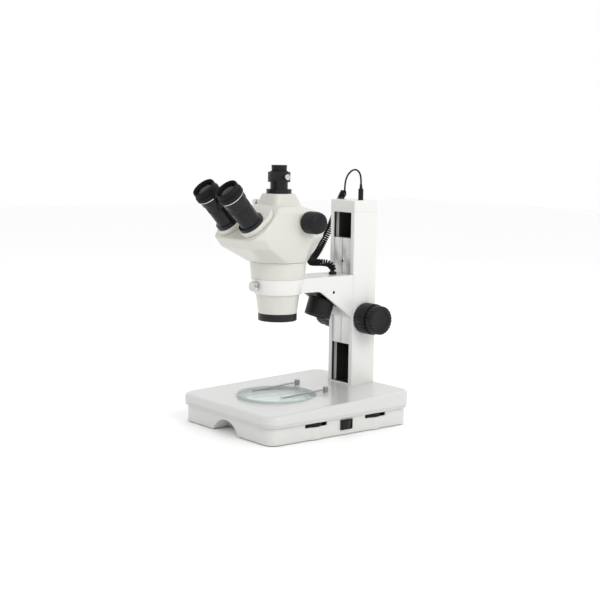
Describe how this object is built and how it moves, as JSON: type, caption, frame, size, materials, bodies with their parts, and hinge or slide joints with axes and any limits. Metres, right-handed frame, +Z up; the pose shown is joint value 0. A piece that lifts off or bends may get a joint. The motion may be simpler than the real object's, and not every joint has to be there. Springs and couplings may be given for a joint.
{
  "type": "stereo microscope",
  "caption": "Trinocular zoom stereo microscope on a track stand: lit base with glass stage and clips, rack-focused arm, tilting lamp and paired eyepieces.",
  "frame": {"origin": "where the optical axis meets the surface the microscope rests on", "axes": "+X is the user's right, +Y points to the back, +Z is up along the optical axis"},
  "size_m": [0.242, 0.3252, 0.417],
  "materials": {
    "shell_paint": "satin off-white powder paint",
    "trim_plastic": "satin light grey trim",
    "plate_paint": "satin light grey enamel",
    "cover_steel": "dark grey sheet",
    "foot_rubber": "matt",
    "screw_steel": "zinc plated",
    "stage_glass": "clear, faint green edge",
    "diffuser_plastic": "frosted",
    "circuit_board": "solder mask",
    "black_metal": "satin black",
    "clip_steel": "spring steel, dark",
    "black_plastic": "moulded",
    "rocker_plastic": "gloss",
    "column_paint": "satin white paint",
    "bush_brass": "turned",
    "slide_aluminium": "brushed lengthwise",
    "rack_steel": "machined",
    "knob_plastic": "satin black",
    "arm_paint": "satin white paint",
    "bright_steel": "plated",
    "lamp_plastic": "satin black",
    "lamp_glass": "clear",
    "head_paint": "satin ivory paint",
    "lens_glass": "coated",
    "tube_metal": "satin black",
    "eyepiece_metal": "satin black",
    "eyecup_rubber": "matt",
    "cord_rubber": "semi-matt jacket"
  },
  "bodies": {
    "stand": {"base_shell": "shell_paint", "trim_band": "trim_plastic", "top_plate": "plate_paint", "bottom_cover": "cover_steel", "rubber_feet": "foot_rubber", "bottom_screws": "screw_steel", "lower_diffuser": "diffuser_plastic", "lower_light_board": "circuit_board", "clip_posts": "bright_steel", "control_board": "circuit_board", "switch_housing": "black_plastic", "power_inlet": "black_plastic", "column": "column_paint", "column_bolts": "screw_steel", "column_cap": "column_paint", "power_jack": "black_plastic", "shaft_bushes": "bush_brass", "lamp_cord": "cord_rubber", "cord_plug": "black_plastic"},
    "rocker": {"switch_rocker": "rocker_plastic"},
    "front_dimmer": {"dimmer_wheel_front": "black_plastic"},
    "rear_dimmer": {"dimmer_wheel_rear": "black_plastic"},
    "stage_plate": {"stage_glass": "stage_glass"},
    "left_clip": {"stage_clip_left": "clip_steel"},
    "right_clip": {"stage_clip_right": "clip_steel"},
    "carriage": {"slide_plate": "slide_aluminium", "slide_rack": "rack_steel", "focus_arm": "arm_paint", "arm_screws": "black_metal", "cord_gland": "black_plastic", "lamp_bracket": "black_metal"},
    "focus_drive": {"pinion_shaft": "rack_steel", "focus_knob_left": "knob_plastic", "focus_knob_right": "knob_plastic", "focus_discs": "knob_plastic"},
    "lamp": {"lamp_housing": "lamp_plastic", "lamp_lens": "lamp_glass"},
    "clamp_screw": {"ring_clamp_screw": "bright_steel"},
    "head": {"nose_cone": "head_paint", "objective_ring": "black_metal", "objective_lens": "lens_glass", "head_shell_left": "head_paint", "head_shell_right": "head_paint", "camera_tube": "tube_metal"},
    "zoom_drive": {"zoom_shaft": "rack_steel", "zoom_knob_left": "knob_plastic", "zoom_knob_right": "knob_plastic"},
    "left_prism": {"prism_housing_left": "head_paint", "eyetube_left": "tube_metal"},
    "right_prism": {"prism_housing_right": "head_paint", "eyetube_right": "tube_metal"},
    "left_dioptre": {"dioptre_ring_left": "tube_metal"},
    "right_dioptre": {"dioptre_ring_right": "tube_metal"},
    "left_eyepiece": {"eyepiece_left": "eyepiece_metal", "eyecup_left": "eyecup_rubber"},
    "right_eyepiece": {"eyepiece_right": "eyepiece_metal", "eyecup_right": "eyecup_rubber"},
    "camera_cover": {"camera_plug": "black_plastic"},
    "camera_screw": {"camera_clamp_screw": "bright_steel"},
    "path_rod": {"light_path_knob": "bright_steel"}
  },
  "joints": [
    {"name": "switch_rock", "type": "hinge", "parent": "stand", "child": "rocker", "pos_m": [0.113, 0.0485, 0.017], "axis": [0, 0, 1], "range_deg": [-8, 8]},
    {"name": "front_dimmer_turn", "type": "hinge", "parent": "stand", "child": "front_dimmer", "pos_m": [0.097, -0.012, 0.0235], "axis": [0, 0, 1], "range_deg": [-135, 135]},
    {"name": "rear_dimmer_turn", "type": "hinge", "parent": "stand", "child": "rear_dimmer", "pos_m": [0.097, 0.11, 0.0235], "axis": [0, 0, 1], "range_deg": [-135, 135]},
    {"name": "stage_plate_turn", "type": "hinge", "parent": "stand", "child": "stage_plate", "pos_m": [0, 0, 0.05], "axis": [0, 0, 1], "range_deg": [-180, 180]},
    {"name": "left_clip_swing", "type": "hinge", "parent": "stand", "child": "left_clip", "pos_m": [-0.037, 0.072, 0.0563], "axis": [0, 0, 1], "range_deg": [-45, 20]},
    {"name": "right_clip_swing", "type": "hinge", "parent": "stand", "child": "right_clip", "pos_m": [0.037, 0.072, 0.0563], "axis": [0, 0, 1], "range_deg": [-20, 45]},
    {"name": "focus_slide", "type": "slide", "parent": "stand", "child": "carriage", "axis": [0, 0, 1], "range_m": [-0.06, 0.035], "deforming": ["lamp_cord"]},
    {"name": "focus_turn", "type": "hinge", "parent": "stand", "child": "focus_drive", "pos_m": [0, 0.1595, 0.166], "axis": [1, 0, 0], "range_deg": [-252, 431]},
    {"name": "lamp_tilt", "type": "hinge", "parent": "carriage", "child": "lamp", "pos_m": [0, 0.09521, 0.20755], "axis": [1, 0, 0], "range_deg": [-12, 12]},
    {"name": "clamp_screw_turn", "type": "hinge", "parent": "carriage", "child": "clamp_screw", "pos_m": [0, -0.04, 0.228], "axis": [0, -1, 0], "range_deg": [-180, 180]},
    {"name": "head_swivel", "type": "hinge", "parent": "carriage", "child": "head", "pos_m": [0, 0, 0.2385], "axis": [0, 0, 1], "range_deg": [-90, 90]},
    {"name": "zoom_turn", "type": "hinge", "parent": "head", "child": "zoom_drive", "pos_m": [0, 0.012, 0.33], "axis": [1, 0, 0], "range_deg": [-120, 150]},
    {"name": "right_tube_swing", "type": "hinge", "parent": "head", "child": "right_prism", "pos_m": [0.027, -0.06442, 0.33717], "axis": [0, -0.6691, 0.7431], "range_deg": [-10, 36]},
    {"name": "left_tube_swing", "type": "hinge", "parent": "head", "child": "left_prism", "pos_m": [-0.027, -0.06442, 0.33717], "axis": [0, -0.6691, 0.7431], "range_deg": [-36, 10]},
    {"name": "left_dioptre_turn", "type": "hinge", "parent": "left_prism", "child": "left_dioptre", "pos_m": [-0.03, -0.0746, 0.328], "axis": [0, -0.6691, 0.7431], "range_deg": [-150, 150]},
    {"name": "right_dioptre_turn", "type": "hinge", "parent": "right_prism", "child": "right_dioptre", "pos_m": [0.03, -0.0746, 0.328], "axis": [0, -0.6691, 0.7431], "range_deg": [-150, 150]},
    {"name": "left_eyepiece_lift", "type": "slide", "parent": "left_prism", "child": "left_eyepiece", "axis": [0, -0.6691, 0.7431], "range_m": [0, 0.05]},
    {"name": "right_eyepiece_lift", "type": "slide", "parent": "right_prism", "child": "right_eyepiece", "axis": [0, -0.6691, 0.7431], "range_m": [0, 0.05]},
    {"name": "camera_cover_lift", "type": "slide", "parent": "head", "child": "camera_cover", "axis": [0, 0, 1], "range_m": [0, 0.03]},
    {"name": "camera_screw_turn", "type": "hinge", "parent": "head", "child": "camera_screw", "pos_m": [0.02, 0, 0.3985], "axis": [1, 0, 0], "range_deg": [-180, 180]},
    {"name": "path_rod_pull", "type": "slide", "parent": "head", "child": "path_rod", "axis": [-1, 0, 0], "range_m": [0, 0.01]}
  ],
  "couplings": [
    {"joint": "focus_turn", "follows": "focus_slide", "rad_per_m": -125},
    {"joint": "left_tube_swing", "follows": "right_tube_swing", "ratio": -1}
  ]
}
